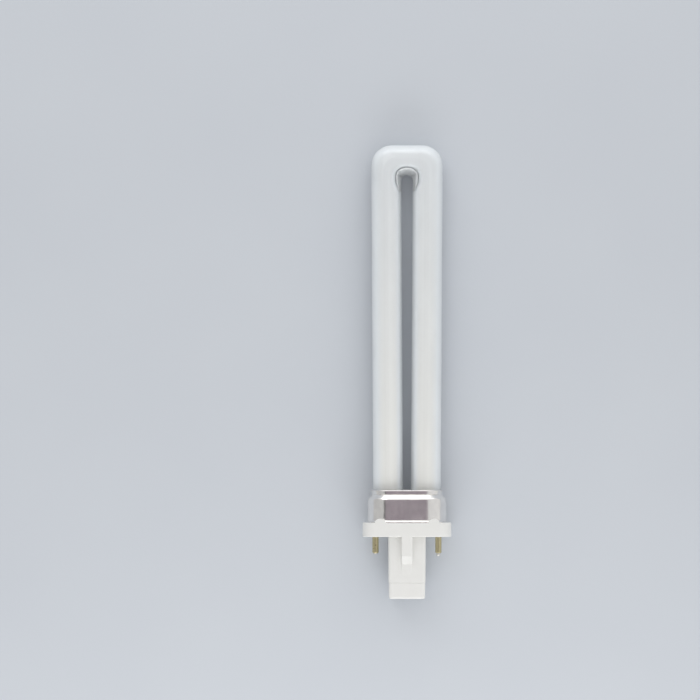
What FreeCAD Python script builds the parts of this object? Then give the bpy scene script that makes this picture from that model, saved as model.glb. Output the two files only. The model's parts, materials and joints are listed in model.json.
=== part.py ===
import FreeCAD, Part
import math
import os

# A single-ended insect-trap lamp: a folded glass tube in a two-pin plug-in base.
# The pieces are drawn with x across the pins, y along the lamp towards the glass and z towards
# the front, with the base's seating face at y = 0. At the end the lamp is laid on its back.

# Glass tube, all sizes in mm
TUBE_OD = 11.0
SLOT_HEAD_WIDTH = 4.1
GLASS_REACH = 143.1
BEND_CORNER_RADIUS = 7.5
BEND_SLICES = 12
LIMB_LEAN_DEG = 0.33
LEAD_ROOM = 3.9
PRESS_LENGTH = 5.5
PRESS_TAPER = 2.6
PRESS_SIDE_STEP = 0.7
PRESS_THICKNESS = 2.8
PRESS_EDGE_RADIUS = 0.8
EXHAUST_TIP_OD = 2.2
EXHAUST_TIP_LENGTH = 2.4
EXHAUST_TIP_ROUNDING = 1.0

# Metal collar, one drawn sheet
GLASS_GAP = 0.2
COLLAR_SHEET = 0.25
BAND_HEIGHT = 8.6
SHOULDER_STEP = 1.5
SHOULDER_HEIGHT = 1.7
SHOULDER_BEND_RADIUS = 0.9
NECK_HEIGHT = 1.6
NECK_BEND_RADIUS = 0.4
LIP_CURL_RADIUS = 0.35
LIP_CURL_END = 0.15
FOOT_BEND_RADIUS = 1.1
FOOT_EDGE_WIDTH = 0.1

# Cement that holds the glass in the collar, below the collar's lip
CEMENT_DROP = 0.8

# Base moulding: flange, bosses, spigot inside the collar, hollow key and its ribs
FLANGE_THICKNESS = 5.1
FLANGE_END_MARGIN = 1.85
FLANGE_SIDE_MARGIN = 1.55
FLANGE_CORNER_RADIUS = 4.5
FLANGE_EDGE_RADIUS = 0.5
FLOOR_THICKNESS = 1.6
SPIGOT_HEIGHT = 5.4
SPIGOT_WALL = 0.9
COLLAR_FIT = 0.05
BOSS_SPACING = 19.5
BOSS_WIDTH = 4.1
BOSS_HEIGHT = 1.6
BOSS_SHOULDER = 0.4
BOSS_EDGE_RADIUS = 0.4
KEY_WIDTH = 13.7
KEY_LENGTH = 22.7
KEY_WALL = 1.2
KEY_CORNER_RADIUS = 1.0
KEY_DRAFT_DEG = 0.3
CAVITY_CORNER_RADIUS = 0.6
RIB_WIDTH = 4.0
RIB_FLUSH_LENGTH = 7.1
RIB_RAMP_LENGTH = 2.8
RIB_TAIL_LENGTH = 3.5
RIB_TAIL_HEIGHT = 0.35
RIB_TAIL_SINK = 0.15
RIB_BEND_RADIUS = 0.6
RIB_EDGE_RADIUS = 0.3

# End cap of the key, with a lip that laps inside the key's wall
CAP_LENGTH = 5.9
CAP_FLOOR = 1.4
CAP_SETBACK = 0.12
CAP_EDGE_RADIUS = 0.8
JOINT_EDGE_RADIUS = 0.2
LAP_LENGTH = 1.5
LAP_FIT = 0.05

# Contact pins and their solder
PIN_SPACING = 23.0
PIN_OD = 2.3
PIN_BORE = 1.3
PIN_LENGTH = 6.1
PIN_TIP_RADIUS = 0.4
PIN_ROOT_OD = 2.7
PIN_FLARE_WIDTH = 0.2
PIN_FLARE_HEIGHT = 0.35
SOLDER_DEPTH = 1.4
SOLDER_DOME = {"left": 0.4, "right": 1.15}
SOLDER_ROUNDING = 0.9

# Starting gear inside the key
STARTER_OD = 7.2
STARTER_HEADROOM = 4.8
STARTER_DOME_RADIUS = 2.2
STARTER_NECK_OD = 4.6
STARTER_NECK_HEIGHT = 1.2
STARTER_SHOULDER_RADIUS = 0.8
STARTER_LIP_RADIUS = 0.4
STARTER_LEAD_PITCH = 2.4
CAPACITOR_WIDTH = 7.6
CAPACITOR_LENGTH = 8.6
CAPACITOR_THICKNESS = 2.4
CAPACITOR_CORNER_RADIUS = 0.7
CAPACITOR_EDGE_RADIUS = 0.35
CAPACITOR_DROP = 2.2
CAPACITOR_LEAD_PITCH = 5.0
GEAR_CLEARANCE = 0.1

# Lead wires and the crimped splices that join them
LEAD_DIAMETER = 0.5
LEAD_PITCH = 4.0
LEAD_BEND_RADIUS = 0.8
LEAD_STUB = 0.9
PIN_LEAD_ENTRY = 0.65
PIN_LEAD_END = 0.3
SPLICE_OD = 1.9
SPLICE_WAIST_OD = 1.6
SPLICE_LENGTH = 3.0
SPLICE_END_LENGTH = 0.75
SPLICE_EDGE = 0.15
SPLICE_RISE = 3.2
SPLICE_PITCH = 6.8
SPLICE_FORWARD = 0.8
SPLICE_GRIP = 1.2
SPLICE_WIRE_PITCH = 0.7

# Shortest edge worth drawing
LEAST_EDGE = 0.001

ORIGIN = FreeCAD.Vector(0, 0, 0)
ACROSS = FreeCAD.Vector(1, 0, 0)
ALONG = FreeCAD.Vector(0, 1, 0)
FORWARD = FreeCAD.Vector(0, 0, 1)
SIDES = {"left": -1, "right": 1}

# Heights along the lamp that several pieces share
bend_start = GLASS_REACH - TUBE_OD - SLOT_HEAD_WIDTH / 2
press_bottom = FLOOR_THICKNESS + LEAD_ROOM
limb_end = press_bottom + PRESS_LENGTH
spigot_top = FLANGE_THICKNESS + SPIGOT_HEIGHT
band_top = FLANGE_THICKNESS + BAND_HEIGHT
shoulder_top = band_top + SHOULDER_HEIGHT
collar_top = shoulder_top + NECK_HEIGHT
cement_top = collar_top - CEMENT_DROP
cap_joint = CAP_LENGTH - KEY_LENGTH
press_width = TUBE_OD - 2 * PRESS_SIDE_STEP
starter_top = -STARTER_HEADROOM
starter_bottom = CAP_FLOOR + GEAR_CLEARANCE - KEY_LENGTH
capacitor_top = starter_top - CAPACITOR_DROP
splice_bottom = starter_top + SPLICE_RISE
splice_top = splice_bottom + SPLICE_LENGTH


def limb_offset(height):
    """Distance of a limb's axis from the lamp's centre line at a height."""
    lean = math.tan(math.radians(LIMB_LEAN_DEG))
    return (SLOT_HEAD_WIDTH + TUBE_OD) / 2 - (bend_start - height) * lean


# The oval collar: distance of its two end centres from the middle, and radii about them
oval_half = limb_offset(collar_top)
neck_inner = TUBE_OD / 2 + GLASS_GAP
band_inner = neck_inner + SHOULDER_STEP
band_outer = band_inner + COLLAR_SHEET
foot_outer = band_inner + FOOT_BEND_RADIUS + FOOT_EDGE_WIDTH
spigot_outer = band_inner - COLLAR_FIT
pocket_radius = spigot_outer - SPIGOT_WALL

# Plan sizes of the flange and of the key, which is as deep as the gear that it holds
flange_width = 2 * (oval_half + band_outer + FLANGE_END_MARGIN)
flange_depth = 2 * (band_outer + FLANGE_SIDE_MARGIN)
cavity_width = KEY_WIDTH - 2 * KEY_WALL
cavity_depth = STARTER_OD + CAPACITOR_THICKNESS + 4 * GEAR_CLEARANCE
key_depth = cavity_depth + 2 * KEY_WALL

# The starter bottle stands at the back of the key's cavity, the capacitor at its front
starter_z = GEAR_CLEARANCE + (STARTER_OD - cavity_depth) / 2
capacitor_z = (cavity_depth - CAPACITOR_THICKNESS) / 2 - GEAR_CLEARANCE


def vec(x, y, z=0.0):
    return FreeCAD.Vector(x, y, z)


def rounded_path(points, radii):
    """Straight runs from point to point, joined by tangent arcs. A radius of 0 is a sharp corner."""
    edges = []
    start = points[0]
    for before, corner, after, radius in zip(points, points[1:], points[2:], radii):
        back = (before - corner).normalize()
        ahead = (after - corner).normalize()
        half_angle = back.getAngle(ahead) / 2
        reach = radius / math.tan(half_angle)
        enter = corner + back * reach
        leave = corner + ahead * reach
        if start.distanceToPoint(enter) > LEAST_EDGE:
            edges.append(Part.LineSegment(start, enter).toShape())
        if radius > 0:
            middle = (back + ahead).normalize()
            crown = corner + middle * (radius / math.sin(half_angle) - radius)
            edges.append(Part.Arc(enter, crown, leave).toShape())
        start = leave
    if start.distanceToPoint(points[-1]) > LEAST_EDGE:
        edges.append(Part.LineSegment(start, points[-1]).toShape())
    return Part.Wire(edges)


def outline(corners):
    """Closed face from (point, corner radius) pairs."""
    points = [point for point, radius in corners]
    radii = [radius for point, radius in corners]
    seam = (points[0] + points[-1]) * 0.5
    return Part.Face(rounded_path([seam] + points + [seam], radii))


def turned(corners):
    """Solid turned about the y axis from a half section of (radius, height, corner radius)."""
    face = outline([(vec(radius, height), rounding) for radius, height, rounding in corners])
    return face.revolve(ORIGIN, ALONG, 360)


def round_bar(diameter, bottom, top, x):
    return Part.makeCylinder(diameter / 2, top - bottom, vec(x, bottom), ALONG)


def plan_rectangle(width, depth, radius, height):
    """Rounded rectangle seen along the lamp, at a height."""
    half_x = width / 2 - radius
    half_z = depth / 2 - radius
    corners = [
        vec(half_x, height, half_z),
        vec(half_x, height, -half_z),
        vec(-half_x, height, -half_z),
        vec(-half_x, height, half_z),
        vec(half_x, height, half_z),
    ]
    return Part.makePolygon(corners).makeOffset2D(radius)


def plan_block(width, depth, radius, bottom, top):
    """Upright block with rounded corners."""
    return Part.Face(plan_rectangle(width, depth, radius, bottom)).extrude(vec(0, top - bottom))


def drafted_block(width, depth, top, bottom):
    """Upright block of the key's section, which draws in from the seating face downwards."""
    slope = 2 * math.tan(math.radians(KEY_DRAFT_DEG))
    wires = []
    for height in (top, bottom):
        growth = height * slope
        wires.append(plan_rectangle(width + growth, depth + growth, KEY_CORNER_RADIUS, height))
    return Part.makeLoft(wires, True, True)


def edges_at_height(shape, height):
    """Edges that lie flat at one height."""
    level = []
    for edge in shape.Edges:
        box = edge.BoundBox
        if abs(box.YMin - height) < LEAST_EDGE and abs(box.YMax - height) < LEAST_EDGE:
            level.append(edge)
    return level


def front_and_back(piece):
    """The piece and its copy turned half round the lamp's centre line."""
    copy = piece.copy()
    copy.rotate(ORIGIN, ALONG, 180)
    return [piece, copy]


def oval_body(section):
    """Sweep a section, drawn as radius by height, round the oval of the collar."""
    facing = section.copy()
    facing.rotate(ORIGIN, ALONG, -90)
    facing.translate(vec(-oval_half, 0))
    front = facing.extrude(vec(2 * oval_half, 0))
    end_face = facing.copy()
    end_face.translate(vec(2 * oval_half, 0))
    end = end_face.revolve(vec(oval_half, 0), ALONG, 180)
    return front.fuse([end] + [front_and_back(front)[1], front_and_back(end)[1]]).removeSplitter()


def oval_ring(inner, outer, bottom, top):
    """Upright oval wall between two radii and two heights, solid where the inner radius is 0."""
    corners = [vec(inner, bottom), vec(outer, bottom), vec(outer, top), vec(inner, top)]
    return oval_body(outline([(corner, 0) for corner in corners]))


def lead_wire(points):
    """Round wire along straight runs and tangent arcs."""
    path = rounded_path(points, [LEAD_BEND_RADIUS] * (len(points) - 2))
    ring = Part.Circle(points[0], points[1] - points[0], LEAD_DIAMETER / 2).toShape()
    return path.makePipeShell([Part.Wire(ring)], True, True)


def bend_reach(angle):
    """Distance from the slot head's centre to the bend's outside, in a plane at an angle."""
    angle = min(angle, math.pi - angle)
    half_width = SLOT_HEAD_WIDTH / 2 + TUBE_OD
    arc_centre = half_width - BEND_CORNER_RADIUS
    fold = min(angle, math.pi / 2 - angle)
    if fold <= math.atan2(arc_centre, half_width):
        return half_width / math.cos(fold)
    along = arc_centre * (math.cos(angle) + math.sin(angle))
    return along + math.sqrt(along**2 - 2 * arc_centre**2 + BEND_CORNER_RADIUS**2)


def level_oval(half_x, half_z, x, height):
    """Level oval outline round a limb's axis."""
    oval = Part.Ellipse(ORIGIN, half_x, half_z).toShape()
    oval.rotate(ORIGIN, ACROSS, 90)
    oval.translate(vec(x, height))
    return Part.Wire(oval)


def bend_slice(angle):
    """Oval slice of the bend in a plane through the slot head's centre."""
    inner = SLOT_HEAD_WIDTH / 2
    height = max(bend_reach(angle) - inner, TUBE_OD)
    oval = Part.Ellipse(ORIGIN, height / 2, TUBE_OD / 2).toBSpline()
    stand = FreeCAD.Placement(vec(inner + height / 2, 0), FreeCAD.Rotation(ACROSS, 90))
    turn = FreeCAD.Placement(
        vec(0, bend_start), FreeCAD.Rotation(FORWARD, math.degrees(angle))
    )
    oval.transform(turn.multiply(stand).toMatrix())
    return oval


def skin_round(slices, angles, centre):
    """Smooth surface through slices that fan round a centre, square to its first and last."""
    rails = []
    for poles in zip(*[piece.getPoles() for piece in slices]):
        rail = Part.BSplineCurve()
        rail.interpolate(
            Points=list(poles),
            Parameters=angles,
            InitialTangent=FORWARD.cross(poles[0] - centre),
            FinalTangent=FORWARD.cross(poles[-1] - centre),
            Scale=False,
        )
        rails.append(rail)
    rows = [list(row) for row in zip(*[rail.getPoles() for rail in rails])]
    rail = rails[0]
    oval = slices[0]
    surface = Part.BSplineSurface()
    surface.buildFromPolesMultsKnots(
        rows,
        rail.getMultiplicities(),
        oval.getMultiplicities(),
        rail.getKnots(),
        oval.getKnots(),
        False,
        False,
        rail.Degree,
        oval.Degree,
    )
    return surface.toShape()


def tube_bend():
    """Flat-topped moulded bend that joins the two limbs round the slot's head."""
    angles = [math.pi * number / BEND_SLICES for number in range(BEND_SLICES + 1)]
    slices = [bend_slice(angle) for angle in angles]
    skin = skin_round(slices, angles, vec(0, bend_start))
    ends = [Part.Face(Part.Wire(rim)) for rim in edges_at_height(skin, bend_start)]
    bend = Part.Solid(Part.Shell([skin] + ends))
    bend.fix(LEAST_EDGE, LEAST_EDGE, LEAST_EDGE)
    return bend


def tube_limb(side):
    """One leaning limb, with the flat press that seals its lower end."""
    radius = TUBE_OD / 2
    press_x = side * limb_offset(press_bottom)
    top = level_oval(radius, radius, side * limb_offset(bend_start), bend_start)
    end = level_oval(radius, radius, side * limb_offset(limb_end), limb_end)
    pressed = level_oval(press_width / 2, PRESS_THICKNESS / 2, press_x, limb_end - PRESS_TAPER)
    limb = Part.makeLoft([top, end], True, True)
    taper = Part.makeLoft([end, pressed], True, True)
    plate_top = limb_end - PRESS_TAPER / 2
    plate = plan_block(press_width, PRESS_THICKNESS, PRESS_EDGE_RADIUS, press_bottom, plate_top)
    plate.translate(vec(press_x, 0))
    return limb.fuse([taper, plate])


def exhaust_tip():
    """Sealed stub of the pumping tube under the right limb's press."""
    radius = EXHAUST_TIP_OD / 2
    low = press_bottom - EXHAUST_TIP_LENGTH
    tip = turned([
        (0, low, 0),
        (radius, low, EXHAUST_TIP_ROUNDING),
        (radius, limb_end, 0),
        (0, limb_end, 0),
    ])
    tip.translate(vec(limb_offset(press_bottom), 0))
    return tip


def glass_tube():
    """The sealed tube: two limbs, their bend, the pressed ends and the exhaust tip."""
    limbs = [tube_limb(side) for side in SIDES.values()]
    return tube_bend().fuse(limbs + [exhaust_tip()]).removeSplitter()


def metal_collar():
    """Sheet ring: turned-out foot, straight band, shoulder, neck and curled lip."""
    lip_outer = neck_inner + 2 * LIP_CURL_RADIUS
    points = [
        vec(foot_outer, FLANGE_THICKNESS),
        vec(band_inner, FLANGE_THICKNESS),
        vec(band_inner, band_top),
        vec(neck_inner, shoulder_top),
        vec(neck_inner, collar_top),
        vec(lip_outer, collar_top),
        vec(lip_outer, collar_top - LIP_CURL_RADIUS - LIP_CURL_END),
    ]
    bends = [
        FOOT_BEND_RADIUS,
        SHOULDER_BEND_RADIUS,
        NECK_BEND_RADIUS,
        LIP_CURL_RADIUS,
        LIP_CURL_RADIUS,
    ]
    inside = rounded_path(points, bends)
    return oval_body(inside.makeOffset2D(COLLAR_SHEET, fill=True, openResult=True))


def cement_fill(collar, glass):
    """Cement between the collar and the glass, from the spigot's top up.

    What the cut leaves outside the collar's neck is dropped: the plug is the largest piece.
    """
    block = oval_ring(0, band_inner, spigot_top, cement_top)
    pieces = block.cut([collar, glass]).Solids
    return max(pieces, key=lambda piece: piece.Volume)


def flange_boss(x):
    """Domed tab on the flange's front edge, hooked over the collar's foot."""
    front = flange_depth / 2
    back = band_outer + COLLAR_FIT
    low = FLANGE_THICKNESS - FLANGE_EDGE_RADIUS
    shoulder = FLANGE_THICKNESS + BOSS_SHOULDER
    half = BOSS_WIDTH / 2
    tab = Part.Wire([
        Part.LineSegment(vec(-half, shoulder, back), vec(-half, low, back)).toShape(),
        Part.LineSegment(vec(-half, low, back), vec(half, low, back)).toShape(),
        Part.LineSegment(vec(half, low, back), vec(half, shoulder, back)).toShape(),
        Part.Arc(
            vec(half, shoulder, back),
            vec(0, FLANGE_THICKNESS + BOSS_HEIGHT, back),
            vec(-half, shoulder, back),
        ).toShape(),
    ])
    boss = Part.Face(tab).extrude(vec(0, 0, front - back))
    rim = []
    for edge in boss.Edges:
        box = edge.BoundBox
        if box.ZMin > front - LEAST_EDGE and box.YMax > low + LEAST_EDGE:
            rim.append(edge)
    boss = boss.makeFillet(BOSS_EDGE_RADIUS, rim)
    boss.translate(vec(x, 0))
    foot_top = FLANGE_THICKNESS + FOOT_BEND_RADIUS + COLLAR_FIT
    return boss.cut(oval_ring(0, foot_outer + COLLAR_FIT, FLANGE_THICKNESS, foot_top))


def key_rib():
    """Guide rib on the key's broad face: level with the flange, a ramp, a tail that fades out."""
    flush = flange_depth / 2
    face = key_depth / 2
    inside = cavity_depth / 2 + KEY_WALL / 2
    ramp_end = -RIB_FLUSH_LENGTH - RIB_RAMP_LENGTH
    tail_end = ramp_end - RIB_TAIL_LENGTH * (1 + RIB_TAIL_SINK / RIB_TAIL_HEIGHT)
    half = RIB_WIDTH / 2
    side_view = [
        (vec(-half, FLOOR_THICKNESS, inside), 0),
        (vec(-half, FLOOR_THICKNESS, flush), 0),
        (vec(-half, -RIB_FLUSH_LENGTH, flush), RIB_BEND_RADIUS),
        (vec(-half, ramp_end, face + RIB_TAIL_HEIGHT), RIB_BEND_RADIUS),
        (vec(-half, tail_end, face - RIB_TAIL_SINK), 0),
        (vec(-half, tail_end, inside), 0),
    ]
    rib = outline(side_view).extrude(vec(RIB_WIDTH, 0))
    rim = []
    for edge in rib.Edges:
        box = edge.BoundBox
        outer = box.ZMax > inside + LEAST_EDGE
        if outer and box.XLength < LEAST_EDGE and box.YLength > LEAST_EDGE:
            rim.append(edge)
    return rib.makeFillet(RIB_EDGE_RADIUS, rim)


def flange_plate():
    plate = plan_block(flange_width, flange_depth, FLANGE_CORNER_RADIUS, 0, FLANGE_THICKNESS)
    rims = edges_at_height(plate, 0) + edges_at_height(plate, FLANGE_THICKNESS)
    return plate.makeFillet(FLANGE_EDGE_RADIUS, rims)


def pin_seat(x):
    """Hole for a pin's root through the floor, with room above it for the pin's flare."""
    flare = PIN_ROOT_OD + 2 * PIN_FLARE_WIDTH + 2 * COLLAR_FIT
    hole = round_bar(PIN_ROOT_OD, 0, FLOOR_THICKNESS, x)
    return hole.fuse(round_bar(flare, FLOOR_THICKNESS, spigot_top, x))


def lap_block(clearance, bottom, top):
    """Block as large as the middle of the key's wall, where the cap's lip laps inside it."""
    width = cavity_width + KEY_WALL - 2 * clearance
    depth = cavity_depth + KEY_WALL - 2 * clearance
    return plan_block(width, depth, CAVITY_CORNER_RADIUS + KEY_WALL / 2, bottom, top)


def base_moulding():
    """Flange, spigot, hollow key, ribs and bosses in one moulding, open inside."""
    spigot = oval_ring(pocket_radius, spigot_outer, FLOOR_THICKNESS, spigot_top)
    key = drafted_block(KEY_WIDTH, key_depth, 0, cap_joint)
    key = key.makeFillet(JOINT_EDGE_RADIUS, edges_at_height(key, cap_joint))
    solids = [spigot, key] + front_and_back(key_rib())
    for side in SIDES.values():
        solids += front_and_back(flange_boss(side * BOSS_SPACING / 2))
    outside = flange_plate().fuse(solids)
    pocket = oval_ring(0, pocket_radius, FLOOR_THICKNESS, spigot_top)
    rooms = [pocket]
    rooms.append(
        plan_block(cavity_width, cavity_depth, CAVITY_CORNER_RADIUS, cap_joint, FLOOR_THICKNESS)
    )
    lap = LAP_LENGTH + LAP_FIT
    rooms.append(lap_block(0, cap_joint, cap_joint + lap))
    rooms += [pin_seat(side * PIN_SPACING / 2) for side in SIDES.values()]
    return outside.cut(rooms).removeSplitter()


def key_end_cap():
    """Closing cap of the key: drafted shell, rounded end and thin lip."""
    setback = 2 * CAP_SETBACK
    shell = drafted_block(KEY_WIDTH - setback, key_depth - setback, cap_joint, -KEY_LENGTH)
    shell = shell.makeFillet(CAP_EDGE_RADIUS, edges_at_height(shell, -KEY_LENGTH))
    shell = shell.makeFillet(JOINT_EDGE_RADIUS, edges_at_height(shell, cap_joint))
    lip_top = cap_joint + LAP_LENGTH
    lip = lap_block(LAP_FIT, cap_joint, lip_top)
    floor = CAP_FLOOR - KEY_LENGTH
    room = plan_block(cavity_width, cavity_depth, CAVITY_CORNER_RADIUS, floor, lip_top)
    return shell.fuse(lip).cut(room).removeSplitter()


def contact_pin(x):
    """Hollow pin: rounded tip, shank, thicker root in the floor, flare rolled over the floor."""
    bore = PIN_BORE / 2
    shank = PIN_OD / 2
    root = PIN_ROOT_OD / 2
    flare_top = FLOOR_THICKNESS + PIN_FLARE_HEIGHT
    pin = turned([
        (bore, -PIN_LENGTH, 0),
        (shank, -PIN_LENGTH, PIN_TIP_RADIUS),
        (shank, 0, 0),
        (root, 0, 0),
        (root, FLOOR_THICKNESS, 0),
        (root + PIN_FLARE_WIDTH, FLOOR_THICKNESS, 0),
        (root + PIN_FLARE_WIDTH, flare_top, PIN_FLARE_WIDTH),
        (bore, flare_top, PIN_FLARE_WIDTH),
    ])
    pin.translate(vec(x, 0))
    return pin


def pin_solder(x, dome, lead):
    """Solder that fills the pin's tip round its lead and stands out as a small dome."""
    bore = PIN_BORE / 2
    edge = PIN_OD / 2 - PIN_TIP_RADIUS
    solder = turned([
        (0, -PIN_LENGTH - dome, 0),
        (edge, -PIN_LENGTH - dome, SOLDER_ROUNDING * min(edge, dome)),
        (edge, -PIN_LENGTH, 0),
        (bore, -PIN_LENGTH, 0),
        (bore, SOLDER_DEPTH - PIN_LENGTH, 0),
        (0, SOLDER_DEPTH - PIN_LENGTH, 0),
    ])
    solder.translate(vec(x, 0))
    return solder.cut(lead)


def starter_bottle():
    """Small glass bottle of the glow starter, domed below and necked above."""
    radius = STARTER_OD / 2
    shoulder = starter_top - STARTER_NECK_HEIGHT
    bottle = turned([
        (0, starter_bottom, 0),
        (radius, starter_bottom, STARTER_DOME_RADIUS),
        (radius, shoulder, STARTER_SHOULDER_RADIUS),
        (STARTER_NECK_OD / 2, starter_top, STARTER_LIP_RADIUS),
        (0, starter_top, 0),
    ])
    bottle.translate(vec(0, 0, starter_z))
    return bottle


def capacitor_body():
    """Flat dipped capacitor with rounded edges."""
    low = capacitor_top - CAPACITOR_LENGTH
    corner = CAPACITOR_CORNER_RADIUS
    body = plan_block(CAPACITOR_WIDTH, CAPACITOR_THICKNESS, corner, low, capacitor_top)
    rims = edges_at_height(body, low) + edges_at_height(body, capacitor_top)
    body = body.makeFillet(CAPACITOR_EDGE_RADIUS, rims)
    body.translate(vec(0, 0, capacitor_z))
    return body


def pin_lead(side):
    """Lead from the glass press into the hollow pin, as far as the solder."""
    start_x = side * (limb_offset(press_bottom) + LEAD_PITCH / 2)
    pin_x = side * PIN_SPACING / 2
    entry = FLOOR_THICKNESS + PIN_FLARE_HEIGHT + PIN_LEAD_ENTRY
    return lead_wire([
        vec(start_x, press_bottom),
        vec(start_x, press_bottom - LEAD_STUB),
        vec(pin_x, entry),
        vec(pin_x, PIN_LEAD_END - PIN_LENGTH),
    ])


def tube_feed(side):
    """Lead from the glass press down into the top of a splice."""
    start_x = side * (limb_offset(press_bottom) - LEAD_PITCH / 2)
    splice_x = side * SPLICE_PITCH / 2
    return lead_wire([
        vec(start_x, press_bottom),
        vec(start_x, press_bottom - LEAD_STUB),
        vec(splice_x, splice_top + LEAD_STUB, SPLICE_FORWARD),
        vec(splice_x, splice_top - SPLICE_GRIP, SPLICE_FORWARD),
    ])


def bottle_lead(side):
    """Lead from the starter bottle's neck up into the bottom of a splice."""
    start_x = side * STARTER_LEAD_PITCH / 2
    splice_x = side * (SPLICE_PITCH - SPLICE_WIRE_PITCH) / 2
    return lead_wire([
        vec(start_x, starter_top, starter_z),
        vec(start_x, starter_top + LEAD_STUB, starter_z),
        vec(splice_x, splice_bottom - LEAD_STUB, SPLICE_FORWARD),
        vec(splice_x, splice_bottom + SPLICE_GRIP, SPLICE_FORWARD),
    ])


def capacitor_lead(side):
    """Lead from the capacitor up in front of the bottle and into the bottom of a splice."""
    start_x = side * CAPACITOR_LEAD_PITCH / 2
    splice_x = side * (SPLICE_PITCH + SPLICE_WIRE_PITCH) / 2
    return lead_wire([
        vec(start_x, capacitor_top, capacitor_z),
        vec(start_x, splice_bottom - 2 * LEAD_STUB, capacitor_z),
        vec(splice_x, splice_bottom - LEAD_STUB, SPLICE_FORWARD),
        vec(splice_x, splice_bottom + SPLICE_GRIP, SPLICE_FORWARD),
    ])


def lead_splice(side, wires):
    """Crimped sleeve squeezed round the three wires that meet in it."""
    radius = SPLICE_OD / 2
    waist = SPLICE_WAIST_OD / 2
    sleeve = turned([
        (0, splice_bottom, 0),
        (radius, splice_bottom, SPLICE_EDGE),
        (radius, splice_bottom + SPLICE_END_LENGTH, SPLICE_EDGE),
        (waist, splice_bottom + SPLICE_END_LENGTH + SPLICE_EDGE, 0),
        (waist, splice_top - SPLICE_END_LENGTH - SPLICE_EDGE, 0),
        (radius, splice_top - SPLICE_END_LENGTH, SPLICE_EDGE),
        (radius, splice_top, SPLICE_EDGE),
        (0, splice_top, 0),
    ])
    sleeve.translate(vec(side * SPLICE_PITCH / 2, 0, SPLICE_FORWARD))
    return sleeve.cut(wires)


def lamp_pieces():
    """Every piece of the lamp by name, standing in its drawing position."""
    glass = glass_tube()
    collar = metal_collar()
    pieces = {
        "glass_tube": glass,
        "metal_collar": collar,
        "cement_fill": cement_fill(collar, glass),
        "base_moulding": base_moulding(),
        "key_end_cap": key_end_cap(),
        "starter_bottle": starter_bottle(),
        "suppression_capacitor": capacitor_body(),
    }
    for name, side in SIDES.items():
        pin_x = side * PIN_SPACING / 2
        to_pin = pin_lead(side)
        wires = [tube_feed(side), bottle_lead(side), capacitor_lead(side)]
        pieces["contact_pin_" + name] = contact_pin(pin_x)
        pieces["pin_lead_" + name] = to_pin
        pieces["pin_solder_" + name] = pin_solder(pin_x, SOLDER_DOME[name], to_pin)
        pieces["tube_feed_" + name], pieces["bottle_lead_" + name] = wires[:2]
        pieces["capacitor_lead_" + name] = wires[2]
        pieces["lead_splice_" + name] = lead_splice(side, wires)
    return pieces


def lay_down(pieces):
    """Lean the lamp back until bosses and bend touch the floor, and centre it over the origin."""
    drop = flange_depth / 2 - TUBE_OD / 2
    span = GLASS_REACH - TUBE_OD / 2 - FLANGE_THICKNESS - BOSS_HEIGHT
    lean = math.degrees(math.atan2(drop, span))
    placement = FreeCAD.Placement(ORIGIN, FreeCAD.Rotation(ACROSS, -lean))
    lamp = Part.makeCompound(list(pieces.values()))
    lamp.Placement = placement
    box = lamp.optimalBoundingBox(False, False)
    placement.Base = vec(-box.Center.x, -box.Center.y, -box.ZMin)
    for piece in pieces.values():
        piece.Placement = placement.multiply(piece.Placement)
    return placement


def main():
    os.makedirs("parts", exist_ok=True)
    pieces = lamp_pieces()
    placement = lay_down(pieces)
    for name, piece in pieces.items():
        piece.exportStep("parts/" + name + ".step")
        print(f"{name}: {len(piece.Solids)} solid, {piece.Volume:.2f} mm3, valid {piece.isValid()}")
    marks = {"seating face": vec(0, 0)}
    for name, side in SIDES.items():
        marks["pin " + name + " tip"] = vec(side * PIN_SPACING / 2, -PIN_LENGTH)
    marks["key end"] = vec(0, -KEY_LENGTH)
    marks["glass top"] = vec(0, GLASS_REACH)
    for name, mark in marks.items():
        print(name, placement.multVec(mark))
    print("axis towards the glass", placement.Rotation.multVec(ALONG))
    print("flange", flange_width, "x", flange_depth, "key depth", key_depth)


main()
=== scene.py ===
# %% [markdown]
# An insect-trap lamp, dressed for its picture.
#
# The lamp is a folded glass tube in a small two-pin base. Its solid model is loaded first and is
# never moved: every finish and every added piece is laid on it, in metres, in the same frame.

import json
import math

import bpy
from mathutils import Matrix, Vector


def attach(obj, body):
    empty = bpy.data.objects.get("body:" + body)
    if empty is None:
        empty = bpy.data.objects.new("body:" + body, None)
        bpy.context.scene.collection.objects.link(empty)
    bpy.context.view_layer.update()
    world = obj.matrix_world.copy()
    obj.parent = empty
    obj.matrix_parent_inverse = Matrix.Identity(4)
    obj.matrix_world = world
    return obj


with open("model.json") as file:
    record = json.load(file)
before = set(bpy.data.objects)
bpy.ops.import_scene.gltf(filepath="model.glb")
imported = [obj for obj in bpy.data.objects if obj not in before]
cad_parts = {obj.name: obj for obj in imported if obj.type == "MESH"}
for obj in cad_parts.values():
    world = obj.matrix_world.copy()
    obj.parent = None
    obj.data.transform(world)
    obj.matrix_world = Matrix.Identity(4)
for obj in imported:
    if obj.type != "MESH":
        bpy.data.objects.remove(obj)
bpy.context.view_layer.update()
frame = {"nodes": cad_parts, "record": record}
nodes = frame["nodes"]

# %% [markdown]
# The lamp rests on its back, a little tilted, so its own directions aren't quite those of the
# floor. The record gives them: a contact pin points away from the glass, and the tip of the key
# lies a known length below the seating face. From those two facts any point can be given in
# millimetres across the pins, along the tube and towards the front.

# %% The lamp's own directions
MM = 0.001
KEY_LENGTH = 22.7

mounts = {mount["name"]: mount for mount in frame["record"]["mounts"]}
across = Vector((1, 0, 0))
along = -Vector(mounts["contact_pin_left"]["axis"]).normalized()
forward = across.cross(along)
seat = Vector(mounts["key"]["pos_m"]) + along * KEY_LENGTH * MM


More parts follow.
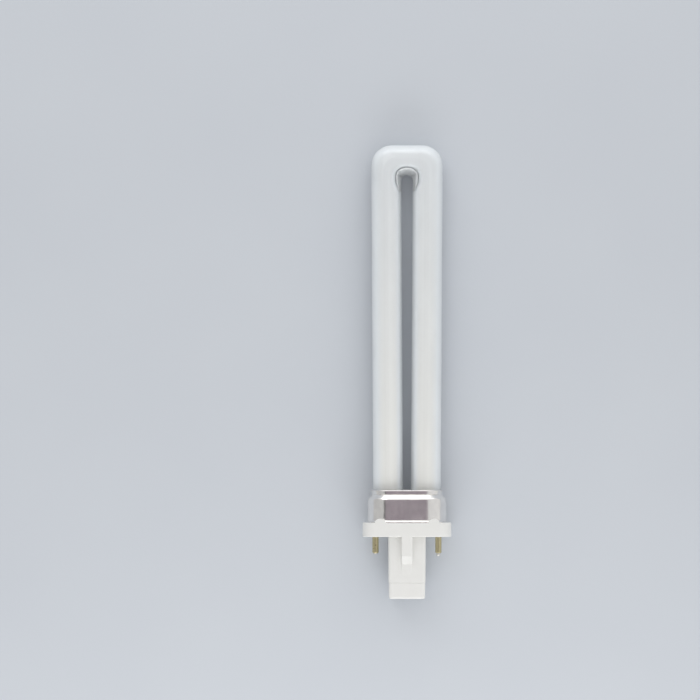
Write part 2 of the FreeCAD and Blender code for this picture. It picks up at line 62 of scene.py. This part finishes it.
def lamp_point(x, y, z=0.0):
    """Point in the frame, from millimetres in the lamp's own directions."""
    return seat + (across * x + along * y + forward * z) * MM


print("tilt of the lamp", round(math.degrees(math.asin(forward.y)), 2), "degrees")

# %% [markdown]
# Colours are given as sRGB hex values, as on a screen, but light adds up in linear values, so one
# function turns each hex value into the linear colour that a shader wants. Its numbers are those of
# the sRGB curve.

# %% Colour from hex
def linear(code):
    """Linear colour with full alpha from an sRGB hex code."""
    channels = [int(code[start:start + 2], 16) / 255 for start in (0, 2, 4)]
    curve = [c / 12.92 if c <= 0.04045 else ((c + 0.055) / 1.055) ** 2.4 for c in channels]
    return (*curve, 1.0)


print("middle grey", [round(channel, 3) for channel in linear("808080")])

# %% [markdown]
# Every finish is a small network of shader nodes. One function adds a node: its settings are given
# by name, and each input gets either a number, a colour or the output that feeds it. The finishes
# then read as recipes, from the pattern down to the shader.

# %% One function that adds a node
def add(tree, kind, inputs=None, **settings):
    """Add a shader node with its settings, inputs and links."""
    node = tree.nodes.new("ShaderNode" + kind)
    for name, value in settings.items():
        setattr(node, name, value)
    for name, value in (inputs or {}).items():
        if isinstance(value, bpy.types.NodeSocket):
            tree.links.new(value, node.inputs[name])
        else:
            node.inputs[name].default_value = value
    return node


def new_material(name):
    """Empty node material and its tree."""
    material = bpy.data.materials.new(name)
    material.use_nodes = True
    material.node_tree.nodes.clear()
    return material, material.node_tree


# %% [markdown]
# Real surfaces vary in patches of a certain size: clouds, pits, draw marks. Noise stands for all of
# them. Object coordinates are metres here, so its scale is one over the patches' real size, and a
# stretch draws the patches out in one direction, as a die or a press does. Noise seldom leaves the
# middle of its range, so a value that wanders between two limits takes only that middle.

# %% Patterns of a real size
NOISE_LOW = 0.3
NOISE_HIGH = 0.7
NO_STRETCH = (1.0, 1.0, 1.0)


def grain(tree, size_mm, detail=2.0, stretch=NO_STRETCH):
    """Noise with patches of a real size, drawn out that many times in each direction."""
    place = add(tree, "TexCoord").outputs["Object"]
    scale = [1 / factor for factor in stretch]
    place = add(tree, "Mapping", {"Vector": place, "Scale": scale}).outputs["Vector"]
    inputs = {"Vector": place, "Scale": 1 / (size_mm * MM), "Detail": detail}
    return add(tree, "TexNoise", inputs).outputs["Fac"]


def wander(tree, size_mm, low, high, detail=2.0, stretch=NO_STRETCH):
    """Value that wanders between two limits, in patches of a real size."""
    return add(tree, "MapRange", {
        "Value": grain(tree, size_mm, detail, stretch),
        "From Min": NOISE_LOW,
        "From Max": NOISE_HIGH,
        "To Min": low,
        "To Max": high,
    }).outputs["Result"]


# %% [markdown]
# The tube is drawn soda-lime glass: clear, very smooth, with faint draw lines along its length.
# A glass shader bends light, and a renderer then finds the lamps behind it only by luck, so the
# white coating under it would come out dark and noisy. The usual way round that is to let shadow
# rays pass as if the glass were clear air. Everything else sees real glass.

# %% Tube glass
def drawn_glass():
    material, tree = new_material("soda_lime_tube_glass")
    draw_lines = grain(tree, 1.4, detail=1.0, stretch=(1.0, 40.0, 1.0))
    lines = add(tree, "Bump", {"Height": draw_lines, "Distance": 0.004 * MM})
    glass = add(tree, "BsdfPrincipled", {
        "Base Color": linear("FCFEFE"),
        "Roughness": 0.02,
        "IOR": 1.52,
        "Transmission Weight": 1.0,
        "Normal": lines.outputs["Normal"],
    })
    clear = add(tree, "BsdfTransparent")
    shadow = add(tree, "LightPath").outputs["Is Shadow Ray"]
    mixed = add(tree, "MixShader", {0: shadow, 1: glass.outputs[0], 2: clear.outputs[0]})
    add(tree, "OutputMaterial", {"Surface": mixed.outputs[0]})
    return material


# %% [markdown]
# Inside, the glass carries a coating of phosphor powder. It is washed on as a slurry and baked, so
# it is dead matt and very even, with a slight cloudiness where it dried. It looks a touch cooler
# near the bend and warmer near the base. The cloud size is several millimetres, the powder's own
# grain is far too fine to see and is drawn at a third of a millimetre. A little light sinks into
# the layer and comes out a millimetre or two away, which softens the shading.
#
# Light also gets into the hollow tube and is spread all round in it, so a real tube's sides look
# nearly as bright as its front. A surface alone can't do that, so painted light stands in for it:
# the powder's colour is painted lighter where its surface turns away from the front. The thin
# lining round the slot's head is a shade greyer.

# %% Phosphor coating
WARM_BELOW = 20.0
COOL_ABOVE = 140.0
SIDE_UPWARD = 0.65
FRONT_UPWARD = 0.95


def phosphor_powder(name, near_base, near_bend, painted_light_at_sides):
    material, tree = new_material(name)
    place = add(tree, "TexCoord").outputs["Object"]
    height = add(tree, "SeparateXYZ", {"Vector": place}).outputs["Y"]
    risen = add(tree, "MapRange", {
        "Value": height,
        "From Min": lamp_point(0, WARM_BELOW).y,
        "From Max": lamp_point(0, COOL_ABOVE).y,
    }).outputs["Result"]
    inputs = {"Factor": risen, "A": linear(near_base), "B": linear(near_bend)}
    front = add(tree, "Mix", inputs, data_type="RGBA").outputs[2]

    # Painted light: the colour is painted paler as the surface turns to face sideways, by its own
    # direction, in place of light spread round inside the tube.
    facing = add(tree, "NewGeometry").outputs["Normal"]
    upward = add(tree, "SeparateXYZ", {"Vector": facing}).outputs["Z"]
    painted_side_light_share = add(tree, "MapRange", {
        "Value": upward,
        "From Min": SIDE_UPWARD,
        "From Max": FRONT_UPWARD,
        "To Min": 1.0,
        "To Max": 0.0,
    }).outputs["Result"]
    inputs = {"Factor": painted_side_light_share, "A": front, "B": linear(painted_light_at_sides)}
    body = add(tree, "Mix", inputs, data_type="RGBA").outputs[2]

    cloud = wander(tree, 7.0, 0.965, 1.0, detail=3.0, stretch=(1.0, 3.0, 1.0))
    inputs = {"Factor": 1.0, "A": body, "B": cloud}
    tint = add(tree, "Mix", inputs, data_type="RGBA", blend_type="MULTIPLY").outputs[2]
    powder = add(tree, "Bump", {"Height": grain(tree, 0.35), "Distance": 0.01 * MM})
    shader = add(tree, "BsdfPrincipled", {
        "Base Color": tint,
        "Roughness": 0.95,
        "Specular IOR Level": 0.2,
        "Subsurface Weight": 0.3,
        "Subsurface Radius": (1.0, 1.0, 1.0),
        "Subsurface Scale": 1.5 * MM,
        "Normal": powder.outputs["Normal"],
    })
    add(tree, "OutputMaterial", {"Surface": shader.outputs[0]})
    return material


# %% [markdown]
# The collar is thin aluminium sheet, drawn in a press and left bright. Its face is a mirror that
# isn't quite flat, so what it reflects wanders: a slow waviness of a few millimetres does that.
# Finer draw marks run up the wall, and handling leaves faint clouds in the gloss.

# %% Bright drawn aluminium
def bright_aluminium():
    material, tree = new_material("bright_drawn_aluminium")
    waviness = grain(tree, 5.0, stretch=(1.0, 0.8, 1.0))
    waves = add(tree, "Bump", {"Height": waviness, "Distance": 0.08 * MM})
    marks = add(tree, "Bump", {
        "Height": grain(tree, 0.35, stretch=(1.0, 8.0, 1.0)),
        "Distance": 0.004 * MM,
        "Normal": waves.outputs["Normal"],
    })
    haze = add(tree, "MapRange", {
        "Value": grain(tree, 2.5, detail=4.0, stretch=(1.0, 1.6, 1.0)),
        "From Min": 0.35,
        "From Max": 0.65,
    }).outputs["Result"]
    inputs = {"Factor": haze, "A": linear("E9E7E5"), "B": linear("F4F2EF")}
    tint = add(tree, "Mix", inputs, data_type="RGBA").outputs[2]
    shader = add(tree, "BsdfPrincipled", {
        "Base Color": tint,
        "Metallic": 1.0,
        "Roughness": wander(tree, 2.5, 0.14, 0.21, detail=3.0),
        "Normal": marks.outputs["Normal"],
    })
    add(tree, "OutputMaterial", {"Surface": shader.outputs[0]})
    return material


# %% [markdown]
# The base and the cap of its key are moulded in white thermoplastic polyester, from a
# spark-eroded mould. That leaves a fine satin skin: soft broad highlights, no sharp mirror image.
# The texture's real pits are about a tenth of a millimetre, drawn here at a quarter to show. Thick
# places sink a little as they cool, which the first bump gives. A little light enters the plastic
# and comes out again, which softens its edges.

# %% White moulded polyester
def moulded_polyester():
    material, tree = new_material("white_moulded_polyester")
    sink = add(tree, "Bump", {"Height": grain(tree, 6.0, detail=1.0), "Distance": 0.05 * MM})
    skin = add(tree, "Bump", {
        "Height": grain(tree, 0.25),
        "Distance": 0.006 * MM,
        "Normal": sink.outputs["Normal"],
    })
    inputs = {"Factor": grain(tree, 4.0), "A": linear("E9E9E6"), "B": linear("EFEFEC")}
    tint = add(tree, "Mix", inputs, data_type="RGBA").outputs[2]
    shader = add(tree, "BsdfPrincipled", {
        "Base Color": tint,
        "Roughness": wander(tree, 1.5, 0.36, 0.46),
        "IOR": 1.57,
        "Subsurface Weight": 0.15,
        "Subsurface Radius": (0.5, 0.5, 0.5),
        "Subsurface Scale": MM,
        "Normal": skin.outputs["Normal"],
    })
    add(tree, "OutputMaterial", {"Surface": shader.outputs[0]})
    return material


# %% [markdown]
# The small metal parts share one recipe, because each is a bare metal with its own colour, its own
# gloss and fine marks left by drawing or dipping: brass pins, tin solder, nickel-plated wire and
# the tinned sleeves that join the wires. A mark is far shallower than it is wide, and the gloss
# wanders by a fifth either way.

# %% Small metals
MARK_DEPTH_SHARE = 0.005
GLOSS_WANDER = 0.2
DRAWN_OUT = (1.0, 12.0, 1.0)


def bare_metal(name, dark, light, roughness, mark_mm, stretch=NO_STRETCH):
    material, tree = new_material(name)
    marks = add(tree, "Bump", {
        "Height": grain(tree, mark_mm, stretch=stretch),
        "Distance": mark_mm * MARK_DEPTH_SHARE * MM,
    })
    inputs = {"Factor": grain(tree, 0.9, detail=3.0), "A": linear(dark), "B": linear(light)}
    tint = add(tree, "Mix", inputs, data_type="RGBA").outputs[2]
    gloss = (roughness * (1 - GLOSS_WANDER), roughness * (1 + GLOSS_WANDER))
    shader = add(tree, "BsdfPrincipled", {
        "Base Color": tint,
        "Metallic": 1.0,
        "Roughness": wander(tree, 1.2, *gloss),
        "Normal": marks.outputs["Normal"],
    })
    add(tree, "OutputMaterial", {"Surface": shader.outputs[0]})
    return material


brass = bare_metal("drawn_brass", dark="B6AC88", light="D0C6A2",
                   roughness=0.33, mark_mm=0.2, stretch=DRAWN_OUT)
solder = bare_metal("tin_solder", dark="D4D2CB", light="E8E6E0",
                    roughness=0.4, mark_mm=0.5)
nickel = bare_metal("nickel_plated_wire", dark="BDB8AC", light="D0CCC2",
                    roughness=0.25, mark_mm=0.15, stretch=DRAWN_OUT)
tinned = bare_metal("tinned_copper_sleeve", dark="C4C2BC", light="DAD8D4",
                    roughness=0.35, mark_mm=0.4)
print("metals", [metal.name for metal in (brass, solder, nickel, tinned)])

# %% [markdown]
# Three more finishes sit inside the base: the grey-white cement that holds the glass, the clear
# blown bottle of the starter and the brown dipped resin of the capacitor. They are made all the
# same, since the base may one day be shown open.

# %% Finishes inside the base
def set_cement():
    material, tree = new_material("set_cement")
    pits = add(tree, "Bump", {"Height": grain(tree, 0.6, detail=4.0), "Distance": 0.12 * MM})
    inputs = {"Factor": grain(tree, 1.0, detail=4.0), "A": linear("CFCBC2"), "B": linear("E0DDD6")}
    tint = add(tree, "Mix", inputs, data_type="RGBA").outputs[2]
    shader = add(tree, "BsdfPrincipled", {
        "Base Color": tint,
        "Roughness": 0.92,
        "Normal": pits.outputs["Normal"],
    })
    add(tree, "OutputMaterial", {"Surface": shader.outputs[0]})
    return material


def blown_bottle_glass():
    material, tree = new_material("blown_bottle_glass")
    ripple = add(tree, "Bump", {"Height": grain(tree, 2.5, detail=1.0), "Distance": 0.02 * MM})
    shader = add(tree, "BsdfPrincipled", {
        "Base Color": linear("F4FAF8"),
        "Roughness": 0.03,
        "IOR": 1.5,
        "Transmission Weight": 1.0,
        "Normal": ripple.outputs["Normal"],
    })
    add(tree, "OutputMaterial", {"Surface": shader.outputs[0]})
    return material


def dipped_resin():
    material, tree = new_material("dipped_capacitor_resin")
    peel = add(tree, "Bump", {"Height": grain(tree, 0.9, detail=1.0), "Distance": 0.03 * MM})
    inputs = {"Factor": grain(tree, 2.0), "A": linear("7A3B22"), "B": linear("8F4A2C")}
    tint = add(tree, "Mix", inputs, data_type="RGBA").outputs[2]
    shader = add(tree, "BsdfPrincipled", {
        "Base Color": tint,
        "Roughness": 0.22,
        "IOR": 1.55,
        "Normal": peel.outputs["Normal"],
    })
    add(tree, "OutputMaterial", {"Surface": shader.outputs[0]})
    return material


# %% [markdown]
# Each solid of the model now gets its finish. The names of the solids say what they are, so the
# start of a name picks the material.

# %% Finish every solid
finishes = {
    "glass_tube": drawn_glass(),
    "metal_collar": bright_aluminium(),
    "cement_fill": set_cement(),
    "base_moulding": moulded_polyester(),
    "contact_pin": brass,
    "pin_solder": solder,
    "starter_bottle": blown_bottle_glass(),
    "suppression_capacitor": dipped_resin(),
    "lead_splice": tinned,
    "pin_lead": nickel,
    "tube_feed": nickel,
    "bottle_lead": nickel,
    "capacitor_lead": nickel,
}
finishes["key_end_cap"] = finishes["base_moulding"]
for name, node in nodes.items():
    finish = next(finishes[start] for start in finishes if name.startswith(start))
    for place in node.material_slots:
        place.material = finish
    print(name, finish.name)

# %% [markdown]
# The coating is the one thing that the solid model leaves out, because there the sealed tube is
# one solid. It is a closed white body inside the glass. It could be a copy of the glass shrunk
# inwards, but the photograph shows a thick clear wall round the slot's head. There the coating
# proper stops well short of the slot, at a thin grey outline, and a paler lining shows beyond it.
# So the coating is built as the tube itself is, from oval slices along each limb and fanned round
# the slot's head, and the lining is a second, thinner row of slices in the clear wall.
#
# Real powder passes light on sideways, so it looks evenly white right up to its edge. A smooth
# slope would darken there, so the slices are fuller than ovals towards the slot: a little along
# the limbs and nearly square round the slot's head.

# %% Sizes of the tube and its coating, in millimetres
TUBE_OD = 11.0
SLOT_HEAD_WIDTH = 4.1
GLASS_REACH = 143.1
BEND_CORNER_RADIUS = 7.5
LIMB_LEAN_DEG = 0.33
COATING_END = 12.0
GLASS_WALL = 0.8
HEAD_SIDE_WALL = 2.6
HEAD_TOP_WALL = 3.4
HEAD_TOP_SPREAD_DEG = 50.0
HEAD_FADE_LENGTH = 5.0
LINING_SIDE_WALL = 0.9
LINING_TOP_WALL = 2.3
LINING_GAP = 0.06
LINING_DEPTH = 6.0
LEAST_LINING = 0.1

slot_head = GLASS_REACH - TUBE_OD - SLOT_HEAD_WIDTH / 2
print("slot head above the seating face", slot_head)


def smooth_step(share):
    """Share from 0 to 1 with a soft start and end."""
    share = min(max(share, 0.0), 1.0)
    return share * share * (3 - 2 * share)


def bend_reach(angle):
    """Distance from the slot head's centre to the outside of the bend's rounded corner."""
    angle = min(angle, math.pi - angle)
    half_width = SLOT_HEAD_WIDTH / 2 + TUBE_OD
    arc_centre = half_width - BEND_CORNER_RADIUS
    fold = min(angle, math.pi / 2 - angle)
    if fold <= math.atan2(arc_centre, half_width):
        return half_width / math.cos(fold)
    lean = arc_centre * (math.cos(angle) + math.sin(angle))
    return lean + math.sqrt(lean ** 2 - 2 * arc_centre ** 2 + BEND_CORNER_RADIUS ** 2)


# %% [markdown]
# A station says where the glass is along the tube: a centre, the direction across the tube from it,
# the distances to the slot side and to the outer side, and how thick the clear wall is, first at
# the coating and then at the lining. Its last value is 1 round the slot's head and fades to 0
# down the limbs. The limbs give level stations, closer together where the clear wall thins out,
# and the bend gives stations turned about the slot head's centre.

# %% Stations along the tube
BEND_STEPS = 48
LIMB_STEPS = 24
FADE_STEPS = 12


def limb_station(side, height):
    """Station across one limb, at a height below the slot's head."""
    below_head = slot_head - height
    slot_edge = SLOT_HEAD_WIDTH / 2 - below_head * math.tan(math.radians(LIMB_LEAN_DEG))
    fade = 1 - smooth_step(below_head / HEAD_FADE_LENGTH)
    wall = GLASS_WALL + (HEAD_SIDE_WALL - GLASS_WALL) * fade
    return (0.0, height), (side, 0.0), slot_edge, slot_edge + TUBE_OD, wall, LINING_SIDE_WALL, fade


def bend_station(angle):
    """Station across the bend, at an angle about the slot's head."""
    rise = smooth_step(math.degrees(min(angle, math.pi - angle)) / HEAD_TOP_SPREAD_DEG)
    wall = HEAD_SIDE_WALL + (HEAD_TOP_WALL - HEAD_SIDE_WALL) * rise
    lining_wall = LINING_SIDE_WALL + (LINING_TOP_WALL - LINING_SIDE_WALL) * rise
    slot_edge = SLOT_HEAD_WIDTH / 2
    outer = max(bend_reach(angle), slot_edge + TUBE_OD)
    direction = (math.cos(angle), math.sin(angle))
    return (0.0, slot_head), direction, slot_edge, outer, wall, lining_wall, 1.0


fade_start = slot_head - HEAD_FADE_LENGTH
straight = (fade_start - COATING_END) / LIMB_STEPS
heights = [COATING_END + step * straight for step in range(LIMB_STEPS)]
heights += [fade_start + step * HEAD_FADE_LENGTH / FADE_STEPS for step in range(FADE_STEPS)]
stations = [limb_station(1, height) for height in heights]
stations += [bend_station(math.pi * step / BEND_STEPS) for step in range(BEND_STEPS + 1)]
stations += [limb_station(-1, height) for height in reversed(heights)]
print("stations", len(stations))

# %% [markdown]
# Each station gives a slice of the coating, and where the clear wall is thick enough, a slice of
# the lining too. Fullness is 2 for an oval and more for a squarer side. A slice has one for its
# side towards the slot and one for its outer side.

# %% Slices of the coating and of the lining
OVAL = 2.0
LIMB_FULLNESS = 2.6
HEAD_FULLNESS = 4.0

coating_slices = []
lining_slices = []
for centre, direction, slot_edge, outer, wall, lining_wall, fade in stations:
    fullness = LIMB_FULLNESS + (HEAD_FULLNESS - LIMB_FULLNESS) * fade
    sides = (slot_edge + wall, outer - GLASS_WALL)
    coating_slices.append((centre, direction, *sides, fullness, OVAL))
    if wall - LINING_GAP - lining_wall > LEAST_LINING:
        sides = (slot_edge + lining_wall, slot_edge + wall - LINING_GAP)
        lining_slices.append((centre, direction, *sides, OVAL, HEAD_FULLNESS))
print("slices of the coating", len(coating_slices), "of the lining", len(lining_slices))

# %% [markdown]
# A skin through the slices could be a lofted surface, but a plain mesh of rings joined by
# four-sided faces is as smooth when its rings are fine, and its two ends close with one face each.

# %% Mesh through the slices
RING_POINTS = 96


def squared(value, fullness):
    """Sine or cosine pushed out towards 1, which turns an oval's side into a fuller one."""
    return math.copysign(abs(value) ** (2 / fullness), value)


def ring_mesh(name, slices, depth):
    """Closed mesh through slices in the lamp's own plane, of a given depth front to back."""
    points = []
    for (centre_x, centre_y), (turn_x, turn_y), inner, outer, slot_side, outer_side in slices:
        middle = (inner + outer) / 2
        half = (outer - inner) / 2
        for step in range(RING_POINTS):
            turn = 2 * math.pi * step / RING_POINTS
            fullness = slot_side if math.cos(turn) < 0 else outer_side
            reach = middle + half * squared(math.cos(turn), fullness)
            front = depth / 2 * squared(math.sin(turn), fullness)
            points.append(lamp_point(centre_x + turn_x * reach, centre_y + turn_y * reach, front))
    faces = []
    for row in range(len(slices) - 1):
        low = row * RING_POINTS
        high = low + RING_POINTS
        for step in range(RING_POINTS):
            beside = (step + 1) % RING_POINTS
            faces.append((low + step, high + step, high + beside, low + beside))
    faces.append(tuple(range(RING_POINTS)))
    faces.append(tuple(reversed(range(len(points) - RING_POINTS, len(points)))))
    mesh = bpy.data.meshes.new(name)
    mesh.from_pydata(points, [], faces)
    mesh.validate()
    mesh.polygons.foreach_set("use_smooth", [len(face.vertices) == 4 for face in mesh.polygons])
    piece = bpy.data.objects.new(name, mesh)
    bpy.context.scene.collection.objects.link(piece)
    return piece


coating_finish = phosphor_powder("phosphor_coating",
                                 near_base="E9E8E5", near_bend="E3E5E7", painted_light_at_sides="F2F5F8")
lining_finish = phosphor_powder("thin_phosphor_lining",
                                near_base="DCDCDA", near_bend="D8DADC", painted_light_at_sides="DCDEE0")
coating = ring_mesh("phosphor_coating", coating_slices, TUBE_OD - 2 * GLASS_WALL)
lining = ring_mesh("bend_lining", lining_slices, LINING_DEPTH)
for piece, finish in ((coating, coating_finish), (lining, lining_finish)):
    piece.data.materials.append(finish)
    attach(piece, "root")
    print(piece.name, len(piece.data.polygons), "faces")

# %% [markdown]
# The floor is a plain pale board. A cool pale grey-blue keeps the white lamp readable and gives
# the clear glass something to show. Its surface has a fine tooth, and its colour hardly varies.

# %% Floor
FLOOR_SIZE = 6.0


def pale_board():
    material, tree = new_material("pale_board")
    tooth = add(tree, "Bump", {"Height": grain(tree, 1.2, detail=3.0), "Distance": 0.02 * MM})
    inputs = {"Factor": grain(tree, 60.0), "A": linear("CCD1D8"), "B": linear("D1D6DC")}
    tint = add(tree, "Mix", inputs, data_type="RGBA").outputs[2]
    shader = add(tree, "BsdfPrincipled", {
        "Base Color": tint,
        "Roughness": 0.85,
        "Normal": tooth.outputs["Normal"],
    })
    add(tree, "OutputMaterial", {"Surface": shader.outputs[0]})
    return material


half_floor = FLOOR_SIZE / 2
corners = [(x * half_floor, y * half_floor, 0) for x, y in ((-1, -1), (1, -1), (1, 1), (-1, 1))]
floor_mesh = bpy.data.meshes.new("floor")
floor_mesh.from_pydata(corners, [], [(0, 1, 2, 3)])
floor = bpy.data.objects.new("floor", floor_mesh)
bpy.context.scene.collection.objects.link(floor)
floor.data.materials.append(pale_board())
print("floor", FLOOR_SIZE, "m")

# %% [markdown]
# The light is a photographer's tent: the same soft white from nearly everywhere, a little brighter
# on the right than on the left and brightest beyond the glass end, with an opening overhead where
# the camera looks in. The opening matters for the bright collar, whose flat front mirrors it and
# turns dark, while its round ends mirror the tent and stay light. Its shoulder, foot and lip mirror
# the bright far end. Something dark stands at the opening's left edge. All this is the world's own
# light, made of soft-edged cones about chosen directions, each laid over the ones before.

# %% Light tent
LEFT_LEVEL = 0.55
RIGHT_LEVEL = 0.76
FAR_LEVEL = 1.1
OPENING_LEVEL = 0.31
SHADE_LEVEL = 0.08
OPENING_LEAN_DEG = 4.0
SHADE_LEAN_DEG = 19.0

world = bpy.data.worlds.new("light_tent")
bpy.context.scene.world = world
world.use_nodes = True
tent = world.node_tree
tent.nodes.clear()
towards = add(tent, "TexCoord").outputs["Generated"]


def cone(direction, inner_deg, outer_deg):
    """Share that is 1 inside a cone about a direction, 0 outside it and soft between."""
    inputs = {0: towards, 1: direction.normalized()}
    dot = add(tent, "VectorMath", inputs, operation="DOT_PRODUCT").outputs["Value"]
    return add(tent, "MapRange", {
        "Value": dot,
        "From Min": math.cos(math.radians(outer_deg)),
        "From Max": math.cos(math.radians(inner_deg)),
    }).outputs["Result"]


def leaning(left_deg):
    """Direction from the lamp's front, leant to its left."""
    lean = math.radians(left_deg)
    return forward * math.cos(lean) - across * math.sin(lean)


def grey(level, tint="FFFFFF"):
    """Linear tone of a given level, with a slight tint if one is given."""
    return (*[channel * level for channel in linear(tint)[:3]], 1.0)


beyond_glass = along * 0.9 + forward * 0.4
layers = [
    (cone(across, 60.0, 120.0), grey(RIGHT_LEVEL)),
    (cone(beyond_glass, 24.0, 50.0), grey(FAR_LEVEL)),
    (cone(leaning(OPENING_LEAN_DEG), 13.0, 17.0), grey(OPENING_LEVEL, "FFF0FC")),
    (cone(leaning(SHADE_LEAN_DEG), 4.0, 7.0), grey(SHADE_LEVEL)),
]
tone = grey(LEFT_LEVEL)
for share, laid in layers:
    inputs = {"Factor": share, "A": tone, "B": laid}
    tone = add(tent, "Mix", inputs, data_type="RGBA").outputs[2]
light = add(tent, "Background", {"Color": tone, "Strength": 1.0})
add(tent, "OutputWorld", {"Surface": light.outputs[0]})
print("tent", LEFT_LEVEL, "to", RIGHT_LEVEL, "opening", OPENING_LEVEL)

# %% [markdown]
# Soft panels give the tent a direction. One up on the left lets the lamp throw a gentle shadow.
# One beyond the glass end brightens the top of the bend, and one before the pins lights the key
# and its slopes. None stands square beside the lamp, where the tube and the collar's ends would
# mirror it as a streak. Each panel's power is worked out from the light that it adds on a surface
# facing it, where 1 shows white as white.

# %% Soft panels
def panel(name, aim, bearing_deg, rise_deg, distance, width, height, share):
    """Soft light aimed at a point, from a compass bearing and a height above the floor."""
    bearing = math.radians(bearing_deg)
    rise = math.radians(rise_deg)
    ray = Vector((
        math.cos(bearing) * math.cos(rise),
        math.sin(bearing) * math.cos(rise),
        math.sin(rise),
    ))
    lamp = bpy.data.lights.new(name, "AREA")
    lamp.shape = "RECTANGLE"
    lamp.size = width
    lamp.size_y = height
    lamp.energy = share * math.pi ** 2 * distance ** 2
    holder = bpy.data.objects.new(name, lamp)
    bpy.context.scene.collection.objects.link(holder)
    holder.location = aim + ray * distance
    holder.rotation_euler = ray.to_track_quat("Z", "Y").to_euler()
    holder.visible_camera = False
    print(name, "radiance", round(share * math.pi * distance ** 2 / (width * height), 2))


panel("upper_left_panel", lamp_point(0, 60), bearing_deg=122, rise_deg=50,
      distance=1.2, width=0.6, height=0.6, share=0.07)
panel("far_panel", lamp_point(0, 135), bearing_deg=90, rise_deg=20,
      distance=0.35, width=0.5, height=0.15, share=0.23)
panel("near_panel", lamp_point(0, -12), bearing_deg=270, rise_deg=30,
      distance=0.4, width=0.5, height=0.2, share=0.48)

# %% [markdown]
# The photograph looks straight at the lamp's front from far away, so the camera looks along the
# lamp's own front direction through a long lens. The lamp stands right of the picture's middle
# there, so the camera is aimed beside it.

# %% Camera
CAMERA_DISTANCE = 3.0
SENSOR_WIDTH = 36.0
PICTURE_PIXELS = 700
PIXELS_PER_MM = 2.734
AIM_ACROSS = -20.83
AIM_ALONG = 68.2

picture_width = PICTURE_PIXELS / PIXELS_PER_MM * MM
lens = bpy.data.cameras.new("camera")
lens.sensor_width = SENSOR_WIDTH
lens.lens = SENSOR_WIDTH * CAMERA_DISTANCE / picture_width
camera = bpy.data.objects.new("camera", lens)
bpy.context.scene.collection.objects.link(camera)
turn = Matrix((across, along, forward)).transposed().to_4x4()
camera.matrix_world = Matrix.Translation(
    lamp_point(AIM_ACROSS, AIM_ALONG) + forward * CAMERA_DISTANCE
) @ turn
bpy.context.scene.camera = camera
bpy.context.scene.view_settings.view_transform = "Standard"
print("lens", round(lens.lens, 1), "mm")
